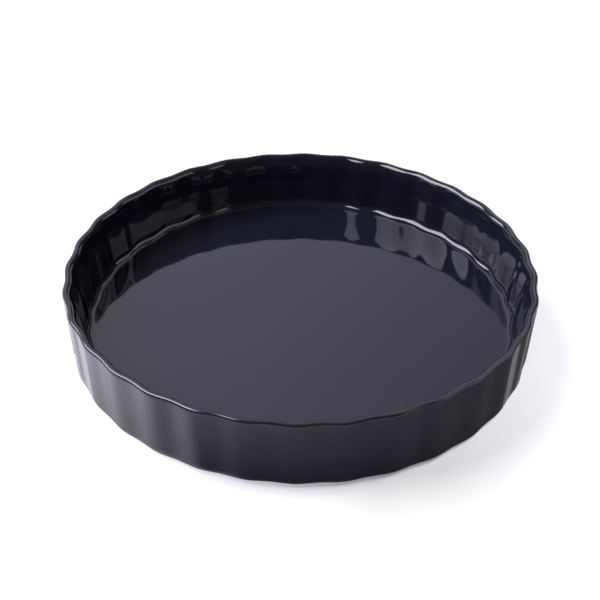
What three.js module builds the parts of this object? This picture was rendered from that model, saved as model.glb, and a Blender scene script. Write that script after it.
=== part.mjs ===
// A round fluted pie dish: a stoneware body under a dark glaze, standing on a bare foot ring.
// Millimetres, +Z up. The origin is the middle of the plane that the dish stands on.
import * as THREE from "three";
import { mergeVertices } from "three/addons/utils/BufferGeometryUtils.js";

// Driving dimensions of the finished dish, in millimetres and degrees
const RIM_DIAMETER = 280; // over the crests of the flutes
const HEIGHT = 46;
const LIP_OUTER_ROUND = 1.7; // radius over the outer edge of the lip
const LIP_INNER_ROUND = 4.2; // radius from there over into the dish
const LIP_TURN = 110; // where the one lip round hands over to the other, as the angle of the normal
const FLARE_ROUND = 100; // radius of the flare that opens the inner wall to the lip
const FLARE_LEAN = 18; // lean where the lip hands over to the flare
const OUTER_DRAFT = 3.7; // lean of the outer wall from upright
const INNER_DRAFT = 7.5; // lean of the inner wall under the flare
const INNER_FILLET = 5; // radius between the inner wall and the floor
const FLOOR_THICKNESS = 6.8; // glaze to glaze
const FLUTES = 32;
const FLUTE_DEPTH = 1.25; // crest to valley at the top of the outer wall
const LIP_FLUTES = 0.95; // share of the flutes' depth on the top of the lip
const INNER_FLUTES = 0.96; // share of it on the inner wall
const FLOOR_FLUTES = 0.3; // share of it that is left where the fillet meets the floor
const FOOT_FLUTES = 0.7; // share of it that reaches the foot
const FOOT_WIDTH = 8; // flat ring that the dish stands on
const FOOT_ROUND = 5.6; // radius of the clay at the outer lower corner
const RECESS_DEPTH = 5; // glazed underside above the plane of the foot
const RECESS_FILLET = 2.8; // radius of the clay in the corner of the recess
const GLAZE = 0.4; // thickness of every glaze coat
const GLAZE_STOP = 45; // how far the outer glaze turns under the foot's corner

// Facets
const STEPS_PER_FLUTE = 5;
const LIP_STEPS = 2;
const FLARE_STEPS = 1;
const FILLET_STEPS = 2;
const FOOT_STEPS = 2;

// Finishes
const CLAY_COLOUR = 0xd8cbb4;
const CLAY_ROUGHNESS = 0.9;
const GLAZE_COLOUR = 0x1b1c2a;
const COAT_ROUGHNESS = 0.08;
const UNDERSIDE_ROUGHNESS = 0.12;

// Centres of the rounds in the section, each one tangent to its neighbours
const lipCentre = new THREE.Vector2(
  (RIM_DIAMETER - FLUTE_DEPTH) / 2 - LIP_OUTER_ROUND,
  HEIGHT - LIP_OUTER_ROUND,
);
const innerLipCentre = nextCentre(lipCentre, LIP_OUTER_ROUND, LIP_INNER_ROUND, LIP_TURN);
const floorTop = RECESS_DEPTH + FLOOR_THICKNESS;
const flareCentre = nextCentre(innerLipCentre, LIP_INNER_ROUND, FLARE_ROUND, 180 - FLARE_LEAN);
const filletCentre = innerFilletCentre();
const footCentre = outerFootCentre();
const recessRadius = footCentre.x - FOOT_WIDTH;
const recessCentre = new THREE.Vector2(
  recessRadius - RECESS_FILLET,
  RECESS_DEPTH + GLAZE - RECESS_FILLET,
);

function sine(angle) {
  return Math.sin(THREE.MathUtils.degToRad(angle));
}

function cosine(angle) {
  return Math.cos(THREE.MathUtils.degToRad(angle));
}

// The centre of a round that takes over from another at a normal's angle. A hollow round's radius is
// negative.
function nextCentre(centre, radius, nextRadius, angle) {
  const away = new THREE.Vector2(cosine(angle), sine(angle));
  return away.multiplyScalar(radius - nextRadius).add(centre);
}

// The centre of the fillet, where the straight inner wall from the flare meets it.
function innerFilletCentre() {
  const height = floorTop + INNER_FILLET;
  const inset = FLARE_ROUND + INNER_FILLET + (flareCentre.y - height) * sine(INNER_DRAFT);
  return new THREE.Vector2(flareCentre.x - inset / cosine(INNER_DRAFT), height);
}

// The centre of the foot's outer corner, where the straight outer wall from the lip meets it.
function outerFootCentre() {
  const drop = lipCentre.y - FOOT_ROUND;
  const inset = FOOT_ROUND + GLAZE - LIP_OUTER_ROUND + drop * sine(OUTER_DRAFT);
  return new THREE.Vector2(lipCentre.x - inset / cosine(OUTER_DRAFT), FOOT_ROUND);
}

// Stations round an arc of the section, with the share of the flutes that each one carries.
function arc(centre, radius, from, to, steps, waveFrom, waveTo) {
  return Array.from({ length: steps + 1 }, (_, i) => {
    const angle = THREE.MathUtils.lerp(from, to, i / steps);
    return {
      r: centre.x + radius * cosine(angle),
      z: centre.y + radius * sine(angle),
      wave: THREE.MathUtils.lerp(waveFrom, waveTo, i / steps),
    };
  });
}

// The finished lip has a station at its very top. The clay lip, which the glaze hides, needs none.
const glazeLip = [
  ...arc(lipCentre, LIP_OUTER_ROUND, -OUTER_DRAFT, 90, LIP_STEPS, 1, LIP_FLUTES),
  ...arc(lipCentre, LIP_OUTER_ROUND, 90, LIP_TURN, 1, LIP_FLUTES, LIP_FLUTES).slice(1),
];
const clayLip = arc(lipCentre, LIP_OUTER_ROUND - GLAZE, -OUTER_DRAFT, LIP_TURN, LIP_STEPS, 1, LIP_FLUTES);

// The section from where the glaze stops at the foot, up the outer wall, over a lip and down to the
// middle of the floor, at a depth under the finished surface. The flutes fade in the fillet.
function dishSection(depth, lip) {
  const footRadius = FOOT_ROUND + GLAZE - depth;
  const lipRadius = LIP_INNER_ROUND - depth;
  const flareRadius = FLARE_ROUND - depth;
  const filletRadius = INNER_FILLET + depth;
  const flareTop = 180 - FLARE_LEAN;
  const wallTop = 180 - INNER_DRAFT;
  return [
    ...arc(footCentre, footRadius, -GLAZE_STOP, -OUTER_DRAFT, FOOT_STEPS, FOOT_FLUTES, FOOT_FLUTES),
    ...lip,
    ...arc(innerLipCentre, lipRadius, LIP_TURN, flareTop, LIP_STEPS, LIP_FLUTES, INNER_FLUTES).slice(1),
    ...arc(flareCentre, flareRadius, flareTop, wallTop, FLARE_STEPS, INNER_FLUTES, INNER_FLUTES).slice(1),
    ...arc(filletCentre, filletRadius, -INNER_DRAFT, -90, FILLET_STEPS, INNER_FLUTES, FLOOR_FLUTES),
    { r: 0, z: floorTop - depth, wave: 0 },
  ];
}

// The flat of the foot ring and its bare outer corner, which carry the flutes on the outside alone.
function footSection() {
  return [
    { r: recessRadius, z: 0, wave: 0 },
    ...arc(footCentre, FOOT_ROUND, -90, -GLAZE_STOP, FOOT_STEPS, FOOT_FLUTES, FOOT_FLUTES).slice(0, -1),
  ];
}

// The section of the recess from the middle to its corner, at a depth under the glazed underside.
function recessSection(depth) {
  const radius = RECESS_FILLET - GLAZE + depth;
  return [
    { r: 0, z: RECESS_DEPTH + depth, wave: 0 },
    ...arc(recessCentre, radius, 90, 0, 1, 0, 0),
  ];
}

// A point of a station, a number of steps round from the crest that faces -Y.
function pointAt(station, step) {
  const angle = (2 * Math.PI * step) / (FLUTES * STEPS_PER_FLUTE);
  const r = station.r + ((station.wave * FLUTE_DEPTH) / 2) * Math.cos(FLUTES * angle);
  return new THREE.Vector3(r * Math.sin(angle), -r * Math.cos(angle), station.z);
}

// A section that starts and ends on the axis, swept round +Z. Each quad is cut along its shorter
// diagonal, so two pieces that share a surface share its facets too.
function flutedSweep(stations) {
  const corners = [];
  for (let ring = 0; ring + 1 < stations.length; ring++) {
    for (let step = 0; step < FLUTES * STEPS_PER_FLUTE; step++) {
      const a = pointAt(stations[ring], step);
      const b = pointAt(stations[ring], step + 1);
      const c = pointAt(stations[ring + 1], step + 1);
      const d = pointAt(stations[ring + 1], step);
      const halves = a.distanceTo(c) < b.distanceTo(d) ? [[a, b, c], [a, c, d]] : [[a, b, d], [b, c, d]];
      corners.push(...halves.filter(isTriangle).flat());
    }
  }
  const geometry = mergeVertices(new THREE.BufferGeometry().setFromPoints(corners));
  geometry.computeVertexNormals();
  return geometry;
}

// On the axis a quad closes to a triangle, and its other half is dropped.
function isTriangle([p, q, s]) {
  return !p.equals(q) && !q.equals(s) && !s.equals(p);
}

function part(name, stations, colour, roughness) {
  const material = new THREE.MeshStandardMaterial({ color: colour, roughness, metalness: 0 });
  const mesh = new THREE.Mesh(flutedSweep(stations), material);
  mesh.name = name;
  return mesh;
}

// Fired clay: floor, fluted wall, lip and foot ring in one casting
const stonewareBody = part(
  "stoneware_body",
  [...recessSection(GLAZE), ...footSection(), ...dishSection(GLAZE, clayLip)],
  CLAY_COLOUR,
  CLAY_ROUGHNESS,
);

// One unbroken coat over the inside, the lip and the outer wall, which stops short of the foot
const glazeCoat = part(
  "glaze_coat",
  [...dishSection(GLAZE, clayLip).reverse(), ...dishSection(0, glazeLip)],
  GLAZE_COLOUR,
  COAT_ROUGHNESS,
);

// The coat on the underside, inside the bare foot ring
const undersideGlaze = part(
  "underside_glaze",
  [...recessSection(0), ...recessSection(GLAZE).reverse()],
  GLAZE_COLOUR,
  UNDERSIDE_ROUGHNESS,
);

const pieDish = new THREE.Group();
pieDish.name = "pie_dish";
pieDish.add(stonewareBody, glazeCoat, undersideGlaze);

export default pieDish;
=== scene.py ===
"""Looks of a round fluted pie dish: dark navy glaze over stoneware, in a white studio.

Metres, +Z up. Angles are in degrees, and azimuths run from -Y towards +X.
"""
from math import cos, pi, radians, sin
from typing import NamedTuple

import bpy
import numpy as np
from mathutils import Matrix, Vector


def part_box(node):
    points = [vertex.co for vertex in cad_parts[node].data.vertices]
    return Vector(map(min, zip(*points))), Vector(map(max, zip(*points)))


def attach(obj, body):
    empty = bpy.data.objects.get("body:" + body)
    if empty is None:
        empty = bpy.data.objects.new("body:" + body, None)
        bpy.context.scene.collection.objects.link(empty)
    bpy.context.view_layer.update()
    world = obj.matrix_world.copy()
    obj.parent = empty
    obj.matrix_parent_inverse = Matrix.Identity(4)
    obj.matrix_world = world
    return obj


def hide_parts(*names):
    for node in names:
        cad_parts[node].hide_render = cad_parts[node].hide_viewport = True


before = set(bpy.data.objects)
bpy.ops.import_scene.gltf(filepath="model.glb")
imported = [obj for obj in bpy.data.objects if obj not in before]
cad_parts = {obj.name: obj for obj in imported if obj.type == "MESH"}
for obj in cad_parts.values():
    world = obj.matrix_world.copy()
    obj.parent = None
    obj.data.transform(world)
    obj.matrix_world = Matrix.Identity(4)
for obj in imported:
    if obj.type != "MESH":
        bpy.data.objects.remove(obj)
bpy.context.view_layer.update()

# The finished dish: its reach comes from the frame, the rest of its section is set here
RIM_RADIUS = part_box("glaze_coat")[1][0]  # over the crests of the flutes
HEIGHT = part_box("glaze_coat")[1][2]
FLUTES = 32
FLUTE_DEPTH = 0.00125  # crest to valley at the top of the outer wall
LIP_FLUTES = 0.95  # share of the flutes' depth on the top of the lip
INNER_FLUTES = 0.96  # share of it on the inner wall
FLOOR_FLUTES = 0.3  # share of it that is left where the fillet meets the dish's floor
FOOT_FLUTES = 0.7  # share of it that reaches the foot
LIP_OUTER_ROUND = 0.0017
LIP_INNER_ROUND = 0.0042
LIP_TURN = 110.0  # where the outer round of the lip hands over to the inner one
OUTER_DRAFT = 3.7  # lean of the outer wall from upright
INNER_DRAFT = 7.5  # lean of the inner wall under the flare
FLARE_ROUND = 0.1  # opens the inner wall to the lip
FLARE_LEAN = 18.0  # where the lip hands over to the flare
BLEND_ROUND = 0.03  # softens the inner wall into the fillet
BLEND_LEAN = 12.0  # where the blend hands over to the fillet
INNER_FILLET = 0.005
FLOOR_TOP = 0.0118  # of the dish's floor
GLAZE = 0.0004  # thickness of every glaze coat
GLAZE_STOP = 45.0  # how far the outer glaze turns under the foot's corner
FOOT_WIDTH = 0.008
FOOT_ROUND = 0.0056
RECESS_TOP = 0.005
RECESS_FILLET = 0.0028

# Fineness of the meshes
COLUMNS_PER_FLUTE = 24
COLUMNS = FLUTES * COLUMNS_PER_FLUTE
FOOT_STEPS = 10
OUTER_WALL_STEPS = 16
LIP_STEPS = 14
INNER_LIP_STEPS = 10
FLARE_STEPS = 10
INNER_WALL_STEPS = 10
BLEND_STEPS = 8
FILLET_STEPS = 12
FOOT_FLAT_STEPS = 4
FOOT_CORNER_STEPS = 6
RECESS_STEPS = 8
DISC_EDGE = 0.99  # radius of a flat disc's outermost ring, as a share of the disc's
DISC_HALVINGS = 5  # rings inside it, each with half the columns of the one before
CARD_STEPS = 24

# Noise
SOFT, UNEVEN, RICH = 2.0, 3.0, 4.0  # levels of detail
NOISE_SPAN = (0.3, 0.7)  # where most of a noise's values lie

# Glaze: each texture has the size of its blotches, and a relief also has its height
GLAZE_DARK = (0.0095, 0.01, 0.021)
GLAZE_PALE = (0.0125, 0.013, 0.026)
GLAZE_THIN = (0.036, 0.038, 0.056)  # on the top of the lip
LIP_THIN = 0.0006  # how far below the top of the lip the glaze starts to thin
GLAZE_CLOUD = 0.03
GLAZE_WAVE, GLAZE_WAVE_HEIGHT = 0.03, 0.00003
GLAZE_SKIN, GLAZE_SKIN_HEIGHT = 0.003, 0.000003
GLAZE_SMEAR = 0.012  # patches of more and less gloss
GLAZE_IOR = 1.5
COAT_ROUGHNESS = (0.03, 0.07)
UNDERSIDE_ROUGHNESS = (0.1, 0.18)

# Clay
CLAY_DARK = (0.62, 0.53, 0.41)
CLAY_PALE = (0.74, 0.65, 0.52)
CLAY_SPECK = (0.22, 0.15, 0.09)
CLAY_CLOUD = 0.012
SPECKS_PER_METRE = 900.0
SPECK_EDGE = (0.12, 0.2)  # where a speck starts to fade and where it has gone, in spacings
CLAY_GRAIN, CLAY_GRAIN_HEIGHT = 0.0006, 0.00005
CLAY_SMEAR = 0.005
CLAY_ROUGHNESS = (0.82, 0.95)

# Camera, fitted to the rim and the base in the photograph
IMAGE_SIDE = 600
SENSOR = 36.0  # millimetres
FOCAL_PIXELS = 1334.6
CAMERA_DISTANCE = 0.79  # from the middle of the rim
CAMERA_AZIMUTH = 0.91
CAMERA_ELEVATION = 34.52
CAMERA_DIP = 35.83  # how far its axis points down
CAMERA_TURN = 0.03  # how far its axis points to the left of the dish's own axis
CAMERA_ROLL = 0.5

# Lamps for matt light and shadow, which the glaze doesn't mirror
SKY_LEVEL = 0.17
KEY_STRENGTH = 3.4
KEY_AZIMUTH = -101.0
KEY_ELEVATION = 50.0
KEY_SPREAD = 40.0
FILL_STRENGTH = 3.2  # the fill lights the ground alone
FILL_AZIMUTH = 98.0
FILL_ELEVATION = 56.0
FILL_SPREAD = 25.0

# The ground to the camera
GROUND_SIDE = 8.0
GROUND_PAINT = 0.47
GROUND_LEVEL = 1.1  # how white it is where it is lit
GROUND_TINT = (0.9, 0.9, 1.0)  # of what lifts it to that level, in the shadow too
# Painted pools of light: the ground is whiter beside the lamps
PAINTED_LIGHT_POOLS = (  # a place, the distances from it, and how much whiter the ground is at each
    ((-0.3, -0.1, 0.0), (0.21, 0.345), (0.65, 0.0)),
    ((0.25, -0.02, 0.0), (0.1, 0.2), (0.25, 0.0)),
)

# The ground in the glaze: a painted glow, with painted shade on the dish's shaded side and near the
# dish
SHINE_TINT = (0.88, 0.9, 1.0)
SHADE_SPOT = (0.16, -0.06, 0.0)  # where it is darkest, on the dish's shaded side
SHADE_REACH = (0.03, 0.29)  # distances from there
SHADE_SHINE = (0.05, 1.0)  # how bright it is at each
DISH_MIDDLE = (0.0, 0.0, 0.0)
CONTACT_REACH = (0.135, 0.185)  # distances from the dish's middle
CONTACT_SHINE = (0.15, 1.25)  # share of that brightness at each
GROUND_GLOSS = 0.1  # how much it mirrors the cards
GROUND_ROUGHNESS = 0.28

# The rest of the studio
BACKDROP_LEVEL = 1.0  # to the camera
STUDIO_GLOOM = 0.1  # level of the unlit studio in the glaze
EARLY_SPAN = (1.0, 2.0)  # the first mirroring and the second
MIRRORINGS = 2.5  # a card no longer shows after more mirrorings than this
CARD_DISTANCE = 1.2
WHITE = (1.0, 1.0, 1.0)
BACK_TINT = (0.82, 0.81, 1.0)
KEY_TINT = (0.86, 0.86, 1.0)
FILL_TINT = (0.95, 0.97, 1.0)


class Card(NamedTuple):
    """A curved card that shows where it is mirrored, and nowhere else."""

    name: str
    azimuths: tuple  # of its two ends
    elevations: tuple  # of its lower and upper edge
    levels: tuple  # how bright it is, in even steps from end to end
    fade: float  # share of its width and of its height over which its edges fade
    tint: tuple = WHITE
    top_azimuths: tuple = None  # of the ends of its upper edge, where they differ
    early: float = 1.0  # share of the levels in the first mirroring
    in_ground_alone: bool = False  # whether only the ground mirrors it


CARDS = (
    Card("back_softbox", (-204.0, -145.0), (28.5, 56.0), (0.65, 1.15, 1.35), 0.04, BACK_TINT),
    Card("low_backdrop", (-222.0, -60.0), (0.0, 16.0), (1.2, 0.5, 1.1, 1.0), 0.08),
    Card("key_softbox", (-122.0, -47.0), (43.0, 68.0), (13.0,), 0.05, KEY_TINT, (-112.0, -47.0)),
    Card("key_foot", (-122.0, -84.0), (25.0, 43.0), (13.0,), 0.05, KEY_TINT, (-122.0, -56.0)),
    Card("key_lower", (-150.0, -78.0), (16.5, 25.0), (4.2,), 0.06, KEY_TINT, early=0.2),
    Card("key_middle", (-150.0, -122.0), (25.0, 33.0), (3.4,), 0.06, KEY_TINT, early=0.2),
    Card("fill_card", (54.0, 120.0), (19.0, 44.0), (1.5, 1.7, 1.3), 0.05, FILL_TINT, (54.0, 130.0)),
    Card("fill_high", (54.0, 130.0), (44.0, 70.0), (0.4,), 0.05, FILL_TINT, (54.0, 142.0)),
    Card("fill_side", (140.0, 155.0), (35.0, 58.0), (1.3,), 0.1, FILL_TINT),
    Card("key_spill", (-144.0, -126.0), (33.0, 56.0), (21.0,), 0.1, KEY_TINT, in_ground_alone=True),
    Card("fill_spill", (131.0, 140.0), (22.0, 50.0), (9.0,), 0.1, FILL_TINT, in_ground_alone=True),
    Card("fill_lower", (44.0, 80.0), (8.0, 20.0), (0.7,), 0.1, BACK_TINT),
)


def next_centre(centre, radius, next_radius, angle):
    """The centre of a round that takes over from another at a normal's angle.

    A hollow round's radius is negative.
    """
    step = radius - next_radius
    return centre[0] + step * cos(radians(angle)), centre[1] + step * sin(radians(angle))


# Centres of the rounds in the section, as (radius, height), each one tangent to its neighbours
LIP_CENTRE = (RIM_RADIUS - FLUTE_DEPTH / 2 - LIP_OUTER_ROUND, HEIGHT - LIP_OUTER_ROUND)
INNER_LIP_CENTRE = next_centre(LIP_CENTRE, LIP_OUTER_ROUND, LIP_INNER_ROUND, LIP_TURN)
FLARE_CENTRE = next_centre(INNER_LIP_CENTRE, LIP_INNER_ROUND, FLARE_ROUND, 180 - FLARE_LEAN)
BLEND_STEP = BLEND_ROUND - INNER_FILLET
BLEND_RISE = FLOOR_TOP + INNER_FILLET + BLEND_STEP * sin(radians(BLEND_LEAN))
BLEND_DROP = FLARE_CENTRE[1] - BLEND_RISE
BLEND_INSET = FLARE_ROUND + BLEND_ROUND + BLEND_DROP * sin(radians(INNER_DRAFT))
BLEND_CENTRE = (FLARE_CENTRE[0] - BLEND_INSET / cos(radians(INNER_DRAFT)), BLEND_RISE)
FILLET_CENTRE = next_centre(BLEND_CENTRE, -BLEND_ROUND, -INNER_FILLET, 180 - BLEND_LEAN)
FOOT_DROP = LIP_CENTRE[1] - FOOT_ROUND
FOOT_INSET = FOOT_ROUND + GLAZE - LIP_OUTER_ROUND + FOOT_DROP * sin(radians(OUTER_DRAFT))
FOOT_CENTRE = (LIP_CENTRE[0] - FOOT_INSET / cos(radians(OUTER_DRAFT)), FOOT_ROUND)
RECESS_RADIUS = FOOT_CENTRE[0] - FOOT_WIDTH
RECESS_CENTRE = (RECESS_RADIUS - RECESS_FILLET, RECESS_TOP + GLAZE - RECESS_FILLET)


def arc(centre, radius, start, end, steps, flutes):
    """Stations (radius, height, share of the flutes) round an arc of the section."""
    angles = np.radians(np.linspace(start, end, steps + 1))
    return np.column_stack((
        centre[0] + radius * np.cos(angles),
        centre[1] + radius * np.sin(angles),
        np.linspace(*flutes, steps + 1),
    ))


def run(start, end, steps):
    """Stations on the straight between two stations, without its ends."""
    share = np.linspace(0, 1, steps + 1)[1:-1, None]
    return start + (end - start) * share


def outer_section(depth):
    """From the glaze's edge at the foot, up the outer wall and over the outer round of the lip."""
    foot_round, foot_flutes = FOOT_ROUND + GLAZE - depth, (FOOT_FLUTES, FOOT_FLUTES)
    lip_round, lip_flutes = LIP_OUTER_ROUND - depth, (1.0, LIP_FLUTES)
    foot = arc(FOOT_CENTRE, foot_round, -GLAZE_STOP, -OUTER_DRAFT, FOOT_STEPS, foot_flutes)
    lip = arc(LIP_CENTRE, lip_round, -OUTER_DRAFT, LIP_TURN, LIP_STEPS, lip_flutes)
    return np.concatenate((foot, run(foot[-1], lip[0], OUTER_WALL_STEPS), lip))


def inner_section(depth):
    """From the inner round of the lip down the inner wall to the edge of the dish's floor."""
    flare_top, wall_top = 180 - FLARE_LEAN, 180 - INNER_DRAFT
    lip_round, lip_flutes = LIP_INNER_ROUND - depth, (LIP_FLUTES, INNER_FLUTES)
    fillet_round, fillet_flutes = INNER_FILLET + depth, (INNER_FLUTES, FLOOR_FLUTES)
    flare_round, blend_round = FLARE_ROUND - depth, BLEND_ROUND + depth
    flutes = (INNER_FLUTES, INNER_FLUTES)
    lip = arc(INNER_LIP_CENTRE, lip_round, LIP_TURN, flare_top, INNER_LIP_STEPS, lip_flutes)
    flare = arc(FLARE_CENTRE, flare_round, flare_top, wall_top, FLARE_STEPS, flutes)
    blend = arc(BLEND_CENTRE, blend_round, -INNER_DRAFT, -BLEND_LEAN, BLEND_STEPS, flutes)
    fillet = arc(FILLET_CENTRE, fillet_round, -BLEND_LEAN, -90, FILLET_STEPS, fillet_flutes)
    wall = run(flare[-1], blend[0], INNER_WALL_STEPS)
    return np.concatenate((lip[1:], flare[1:], wall, blend, fillet[1:]))


def dish_section(depth):
    """From the glaze's edge at the foot to the dish's floor, at a depth under the finished face."""
    return np.concatenate((outer_section(depth), inner_section(depth)))


def foot_section():
    """The bare foot ring, from the corner of the recess to the edge of the outer glaze."""
    flutes = (FOOT_FLUTES, FOOT_FLUTES)
    inner_edge = np.array((RECESS_RADIUS, 0.0, 0.0))
    corner = arc(FOOT_CENTRE, FOOT_ROUND, -90, -GLAZE_STOP, FOOT_CORNER_STEPS, flutes)
    outer_edge = np.array((FOOT_CENTRE[0], 0.0, FOOT_FLUTES))
    flat = run(inner_edge, outer_edge, FOOT_FLAT_STEPS)
    return np.concatenate((inner_edge[None], flat, corner[:-1]))


def recess_section(depth):
    """The recess in the underside, from its flat top's edge to the corner at the foot ring."""
    radius = RECESS_FILLET - GLAZE + depth
    return arc(RECESS_CENTRE, radius, 90, 0, RECESS_STEPS, (0.0, 0.0))


def disc(edge):
    """Rings, as (station, columns), of the flat disc inside a station, from the middle outwards."""
    middle = (edge * (0.0, 1.0, 0.0), 1)
    halved = [(edge * (0.5**k, 1.0, 0.0), COLUMNS >> k) for k in range(1, DISC_HALVINGS + 1)]
    return [middle, *reversed(halved), (edge * (DISC_EDGE, 1.0, 0.0), COLUMNS)]


def rows(stations):
    """Rings, as (station, columns), of a section."""
    return [(station, COLUMNS) for station in stations]


def ring_points(station, columns):
    """The points of a ring, round from the crest that faces -Y."""
    radius, height, flutes = station
    angle = np.arange(columns) * 2 * pi / columns
    reach = radius + flutes * FLUTE_DEPTH / 2 * np.cos(FLUTES * angle)
    return np.column_stack((
        reach * np.sin(angle),
        -reach * np.cos(angle),
        np.full(columns, height),
    ))


def sides(ring):
    """Each vertex of a ring with the next one round."""
    return list(zip(ring, [*ring[1:], ring[0]]))


def stitch(lower, upper):
    """Faces between two rings of vertices, where one has as many as the other, half or one."""
    if len(lower) < len(upper):
        return [face[::-1] for face in stitch(upper, lower)]
    if len(upper) == 1:
        return [(a, b, upper[0]) for a, b in sides(lower)]
    if len(upper) == len(lower):
        return [(a, b, d, c) for (a, b), (c, d) in zip(sides(lower), sides(upper))]
    faces = []
    for (a, b), (_, c), (d, e) in zip(sides(lower)[::2], sides(lower)[1::2], sides(upper)):
        faces += [(a, b, d), (b, e, d), (b, c, e)]
    return faces


def add_mesh(name, points, faces, material):
    """A new object in the scene."""
    mesh = bpy.data.meshes.new(name)
    mesh.from_pydata([tuple(point) for point in points], [], faces)
    mesh.materials.append(material)
    piece = bpy.data.objects.new(name, mesh)
    bpy.context.collection.objects.link(piece)
    return piece


def swept_piece(name, rings, material):
    """A closed smooth mesh swept round +Z from rings that start and end on the axis."""
    points, faces, indices = [], [], []
    for station, columns in rings:
        indices.append(range(len(points), len(points) + columns))
        points.extend(ring_points(station, columns))
    for lower, upper in zip(indices, indices[1:]):
        faces += stitch(lower, upper)
    piece = add_mesh(name, points, faces, material)
    piece.data.shade_smooth()
    return piece


def connect(tree, value, socket):
    """Sets a socket to a value or to another node's output."""
    if isinstance(value, bpy.types.NodeSocket):
        tree.links.new(value, socket)
    else:
        socket.default_value = value


def add_node(tree, kind, **inputs):
    """A shader node with some of its inputs set."""
    node = tree.nodes.new("ShaderNode" + kind)
    for name, value in inputs.items():
        connect(tree, value, node.inputs[name.replace("_", " ")])
    return node


def new_material(name):
    material = bpy.data.materials.new(name)
    material.use_nodes = True
    material.node_tree.nodes.clear()
    return material, material.node_tree


def finish_material(tree, shader):
    output = tree.nodes.new("ShaderNodeOutputMaterial")
    tree.links.new(shader.outputs[0], output.inputs["Surface"])


def place(tree):
    """Positions on the object."""
    return tree.nodes.new("ShaderNodeTexCoord").outputs["Object"]


def opaque(colour):
    return (*colour, 1.0)


def ramp(tree, value, span, levels=(0.0, 1.0)):
    """A level that changes evenly as a value goes through a span."""
    level = add_node(tree, "MapRange", Value=value)
    level.inputs["From Min"].default_value, level.inputs["From Max"].default_value = span
    level.inputs["To Min"].default_value, level.inputs["To Max"].default_value = levels
    return level.outputs["Result"]


def math_node(tree, operation, first, second):
    """Two values combined. The first is another node's output."""
    node = add_node(tree, "Math", Value=first)
    node.operation = operation
    connect(tree, second, node.inputs[1])
    return node.outputs[0]


def noise(tree, size, detail=SOFT):
    """Soft noise whose blotches are about this many metres across."""
    texture = add_node(tree, "TexNoise", Vector=place(tree), Scale=1 / size, Detail=detail)
    return texture.outputs["Fac"]


def mix_colours(tree, share, first, second):
    node = add_node(tree, "Mix")
    node.data_type = "RGBA"
    tree.links.new(share, node.inputs["Factor"])
    for name, colour in (("A", first), ("B", second)):
        (socket,) = [s for s in node.inputs if s.name == name and s.type == "RGBA"]
        connect(tree, colour, socket)
    (result,) = [s for s in node.outputs if s.type == "RGBA"]
    return result


def bump(tree, height, distance, **normal):
    """Normals of a relief, on top of the given ones if there are any."""
    return add_node(tree, "Bump", Height=height, Distance=distance, **normal).outputs["Normal"]


def glaze_material(name, roughness):
    """Thick gloss glaze: navy in faint clouds, with a slow waviness and an orange-peel skin."""
    material, tree = new_material(name)
    shade = noise(tree, GLAZE_CLOUD, RICH)
    clouds = mix_colours(tree, shade, opaque(GLAZE_DARK), opaque(GLAZE_PALE))
    height = add_node(tree, "SeparateXYZ", Vector=place(tree)).outputs["Z"]
    thin = ramp(tree, height, (HEIGHT - LIP_THIN, HEIGHT))
    waves = bump(tree, noise(tree, GLAZE_WAVE), GLAZE_WAVE_HEIGHT)
    finish_material(tree, add_node(
        tree, "BsdfPrincipled", IOR=GLAZE_IOR,
        Base_Color=mix_colours(tree, thin, clouds, opaque(GLAZE_THIN)),
        Normal=bump(tree, noise(tree, GLAZE_SKIN), GLAZE_SKIN_HEIGHT, Normal=waves),
        Roughness=ramp(tree, noise(tree, GLAZE_SMEAR, UNEVEN), NOISE_SPAN, roughness),
    ))
    return material


def clay_material():
    """Bare fired stoneware: matt buff with soft clouds, fine dark specks and a grain."""
    material, tree = new_material("bare_stoneware")
    shade = noise(tree, CLAY_CLOUD, RICH)
    clouds = mix_colours(tree, shade, opaque(CLAY_DARK), opaque(CLAY_PALE))
    cells = add_node(tree, "TexVoronoi", Vector=place(tree), Scale=SPECKS_PER_METRE)
    plain = ramp(tree, cells.outputs["Distance"], SPECK_EDGE)
    finish_material(tree, add_node(
        tree, "BsdfPrincipled",
        Base_Color=mix_colours(tree, plain, opaque(CLAY_SPECK), clouds),
        Normal=bump(tree, noise(tree, CLAY_GRAIN, RICH), CLAY_GRAIN_HEIGHT),
        Roughness=ramp(tree, noise(tree, CLAY_SMEAR), NOISE_SPAN, CLAY_ROUGHNESS),
    ))
    return material


def stand_for(piece, node):
    """Puts a piece on the one body in place of a CAD node, which it hides."""
    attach(piece, "root")
    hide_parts(node)


def build_dish():
    outside, inside = dish_section(0.0), dish_section(GLAZE)
    top, under = recess_section(0.0), recess_section(GLAZE)
    foot = foot_section()
    body = swept_piece(
        "fired_clay",
        [
            *disc(under[0]), *rows(under), *rows(foot),
            *rows(inside), *reversed(disc(inside[-1])),
        ],
        clay_material(),
    )
    coat = swept_piece(
        "gloss_glaze",
        [
            *disc(inside[-1]), *rows(inside[::-1]),
            *rows(outside), *reversed(disc(outside[-1])),
        ],
        glaze_material("navy_glaze", COAT_ROUGHNESS),
    )
    base = swept_piece(
        "base_glaze",
        [*disc(top[0]), *rows(top), *rows(under[::-1]), *reversed(disc(under[0]))],
        glaze_material("underside_navy_glaze", UNDERSIDE_ROUGHNESS),
    )
    stand_for(body, "stoneware_body")
    stand_for(coat, "glaze_coat")
    stand_for(base, "underside_glaze")


def towards(azimuth, elevation):
    """The direction from the dish to a place round it."""
    a, e = radians(azimuth), radians(elevation)
    return Vector((sin(a) * cos(e), -cos(a) * cos(e), sin(e)))


def stage_mesh(name, points, faces, material):
    """An object of the studio, which is no part of the dish."""
    piece = add_mesh(name, points, faces, material)
    return piece


def by_distance(tree, middle, reach, levels):
    """A level that changes evenly with the distance from a place."""
    apart = add_node(tree, "VectorMath")
    apart.operation = "DISTANCE"
    tree.links.new(place(tree), apart.inputs[0])
    apart.inputs[1].default_value = middle
    return ramp(tree, apart.outputs["Value"], reach, levels)


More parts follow.
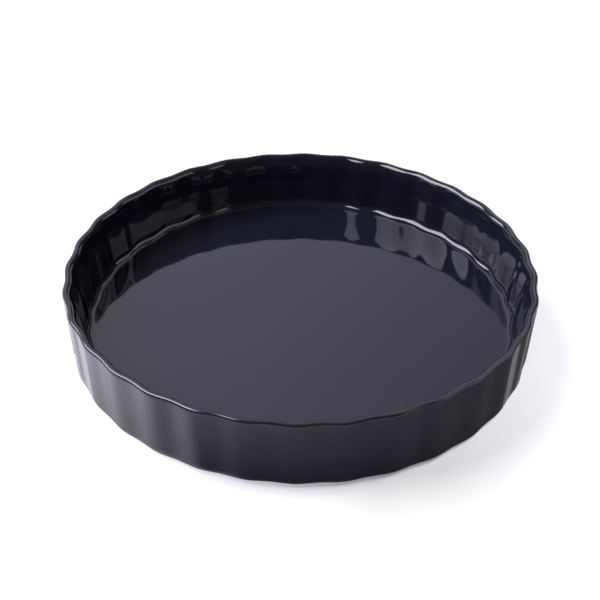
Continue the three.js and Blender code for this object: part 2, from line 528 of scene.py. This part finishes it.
def add_shaders(tree, first, second):
    node = tree.nodes.new("ShaderNodeAddShader")
    tree.links.new(first.outputs[0], node.inputs[0])
    tree.links.new(second.outputs[0], node.inputs[1])
    return node


def mix_shaders(tree, share, first, second):
    node = add_node(tree, "MixShader", Fac=share)
    tree.links.new(first.outputs[0], node.inputs[1])
    tree.links.new(second.outputs[0], node.inputs[2])
    return node


def by_ray(tree, matt, mirrored, seen):
    """One shader for matt surfaces, one for what mirrors and one for the camera."""
    rays = tree.nodes.new("ShaderNodeLightPath").outputs
    unseen = mix_shaders(tree, rays["Is Glossy Ray"], matt, mirrored)
    return mix_shaders(tree, rays["Is Camera Ray"], unseen, seen)


def ground_in_glaze(tree):
    """The ground's painted glow, with painted shade on the shaded side and near the dish, and a
    satin gloss.
    """
    shade = by_distance(tree, SHADE_SPOT, SHADE_REACH, SHADE_SHINE)
    painted_contact_shade = by_distance(tree, DISH_MIDDLE, CONTACT_REACH, CONTACT_SHINE)
    painted_glow = math_node(tree, "MULTIPLY", shade, painted_contact_shade)
    gloss = opaque([GROUND_GLOSS] * 3)
    return add_shaders(
        tree,
        add_node(tree, "Emission", Color=opaque(SHINE_TINT), Strength=painted_glow),
        add_node(tree, "BsdfAnisotropic", Color=gloss, Roughness=GROUND_ROUGHNESS),
    )


def ground_to_camera(tree, paint):
    """The paint with its shadow, lifted to white where it is lit, and further at painted pools of
    light beside the lamps.
    """
    key = KEY_STRENGTH * sin(radians(KEY_ELEVATION))
    fill = FILL_STRENGTH * sin(radians(FILL_ELEVATION))
    lit = GROUND_PAINT * (SKY_LEVEL + (key + fill) / pi)
    left, right = (by_distance(tree, *spot) for spot in PAINTED_LIGHT_POOLS)
    light_pools = math_node(tree, "ADD", left, right)
    lift = math_node(tree, "ADD", light_pools, GROUND_LEVEL - lit)
    glow = add_node(tree, "Emission", Color=opaque(GROUND_TINT), Strength=lift)
    return add_shaders(tree, paint, glow)


def build_ground():
    material, tree = new_material("studio_floor")
    paint = add_node(tree, "BsdfDiffuse", Color=opaque([GROUND_PAINT] * 3))
    seen = ground_to_camera(tree, paint)
    finish_material(tree, by_ray(tree, paint, ground_in_glaze(tree), seen))
    half = GROUND_SIDE / 2
    corners = [(-half, -half, 0.0), (half, -half, 0.0), (half, half, 0.0), (-half, half, 0.0)]
    return stage_mesh("studio_floor", corners, [(0, 1, 2, 3)], material)


def glow_material(name, tint, early):
    """Light at the level of the mesh's glow attribute, or a share of it in the first mirroring."""
    material, tree = new_material(name)
    glow = add_node(tree, "Attribute")
    glow.attribute_name = "glow"
    depth = tree.nodes.new("ShaderNodeLightPath").outputs["Ray Depth"]
    share = ramp(tree, depth, EARLY_SPAN, (early, 1.0))
    shown = math_node(tree, "MULTIPLY", math_node(tree, "LESS_THAN", depth, MIRRORINGS), share)
    level = math_node(tree, "MULTIPLY", shown, glow.outputs["Fac"])
    finish_material(tree, add_node(tree, "Emission", Color=opaque(tint), Strength=level))
    return material


def card_grid(card):
    """The points of a card and the glow at each, one column of points after another."""
    shares = np.linspace(0, 1, CARD_STEPS + 1)
    low, high = np.array(card.azimuths), np.array(card.top_azimuths or card.azimuths)
    bottom, top = card.elevations
    stops = np.linspace(0, 1, len(card.levels))
    points, glow = [], []
    for along in shares:
        for up in shares:
            start, end = low + (high - low) * up
            direction = towards(start + (end - start) * along, bottom + (top - bottom) * up)
            points.append(direction * CARD_DISTANCE)
            edge = min(along, 1 - along, up, 1 - up) / card.fade
            glow.append(min(edge, 1.0) * np.interp(along, stops, card.levels))
    return points, glow


def build_card(card):
    points, glow = card_grid(card)
    column = CARD_STEPS + 1
    corners = [i * column + j for i in range(CARD_STEPS) for j in range(CARD_STEPS)]
    faces = [(a, a + 1, a + column + 1, a + column) for a in corners]
    material = glow_material(card.name, card.tint, card.early)
    piece = stage_mesh(card.name, points, faces, material)
    piece.data.attributes.new("glow", "FLOAT", "POINT").data.foreach_set("value", glow)
    piece.visible_camera = piece.visible_diffuse = piece.visible_transmission = False
    piece.visible_volume_scatter = piece.visible_shadow = False
    return piece


def soft_sun(name, azimuth, elevation, strength, spread):
    """A wide far lamp that the glaze doesn't mirror."""
    sun = bpy.data.lights.new(name, "SUN")
    sun.energy = strength
    sun.angle = radians(spread)
    lamp = bpy.data.objects.new(name, sun)
    lamp.rotation_euler = towards(azimuth, elevation).to_track_quat("Z", "Y").to_euler()
    lamp.visible_glossy = False
    bpy.context.collection.objects.link(lamp)
    return lamp


def build_lights(ground):
    soft_sun("soft_key", KEY_AZIMUTH, KEY_ELEVATION, KEY_STRENGTH, KEY_SPREAD)
    fill = soft_sun("soft_fill", FILL_AZIMUTH, FILL_ELEVATION, FILL_STRENGTH, FILL_SPREAD)
    ground_alone = bpy.data.collections.new("floor_alone")
    ground_alone.objects.link(ground)
    fill.light_linking.receiver_collection = ground_alone
    for card in CARDS:
        piece = build_card(card)
        if card.in_ground_alone:
            piece.light_linking.receiver_collection = ground_alone


def build_world():
    """White to the camera, a soft sky to matt surfaces, and a dim studio in the glaze."""
    world = bpy.data.worlds.new("studio")
    world.use_nodes = True
    tree = world.node_tree
    tree.nodes.clear()
    sky, gloom, white = (
        add_node(tree, "Background", Color=opaque(WHITE), Strength=level)
        for level in (SKY_LEVEL, STUDIO_GLOOM, BACKDROP_LEVEL)
    )
    output = tree.nodes.new("ShaderNodeOutputWorld")
    tree.links.new(by_ray(tree, sky, gloom, white).outputs[0], output.inputs["Surface"])
    bpy.context.scene.world = world


def build_camera():
    camera = bpy.data.cameras.new("camera")
    camera.sensor_width = SENSOR
    camera.lens = SENSOR * FOCAL_PIXELS / IMAGE_SIDE
    holder = bpy.data.objects.new("camera", camera)
    backward = towards(CAMERA_AZIMUTH + CAMERA_TURN, CAMERA_DIP)
    level = towards(CAMERA_AZIMUTH + CAMERA_TURN + 90, 0.0)
    upright = backward.cross(level)
    roll = radians(CAMERA_ROLL)
    right = level * cos(roll) + upright * sin(roll)
    up = upright * cos(roll) - level * sin(roll)
    eye = Vector((0.0, 0.0, HEIGHT)) + towards(CAMERA_AZIMUTH, CAMERA_ELEVATION) * CAMERA_DISTANCE
    turned = Matrix((right, up, backward)).transposed().to_4x4()
    holder.matrix_world = Matrix.Translation(eye) @ turned
    bpy.context.collection.objects.link(holder)
    bpy.context.scene.camera = holder


build_dish()
build_lights(build_ground())
build_world()
build_camera()
bpy.context.scene.view_settings.view_transform = "Standard"
